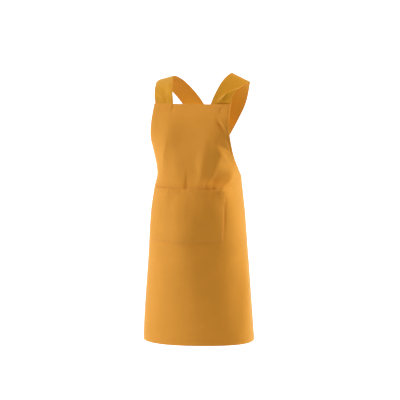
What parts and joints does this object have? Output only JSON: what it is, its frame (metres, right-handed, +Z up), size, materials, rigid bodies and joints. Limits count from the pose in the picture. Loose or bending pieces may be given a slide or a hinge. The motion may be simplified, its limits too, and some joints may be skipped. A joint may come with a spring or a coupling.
{
  "type": "kitchen apron",
  "caption": "Cross-back kitchen apron in worn form: bib and wrap-round skirt in one sheet, wide shoulder straps that cross behind, and a broad patch pocket in front.",
  "frame": {"origin": "midway between the two shoulder crests and level with the lower one, where the apron hangs on the wearer's shoulders", "axes": "+Z up along the wearer, -Y the way the wearer faces, +X the wearer's left"},
  "size_m": [0.386, 0.2669, 0.8953],
  "materials": {
    "canvas_body": "matt mustard cotton canvas",
    "canvas_pocket": "matt mustard cotton canvas",
    "canvas_strap": "matt mustard cotton canvas, doubled"
  },
  "bodies": {
    "root": {"apron_body": "canvas_body", "pocket": "canvas_pocket", "strap_left": "canvas_strap", "strap_right": "canvas_strap"}
  },
  "joints": []
}
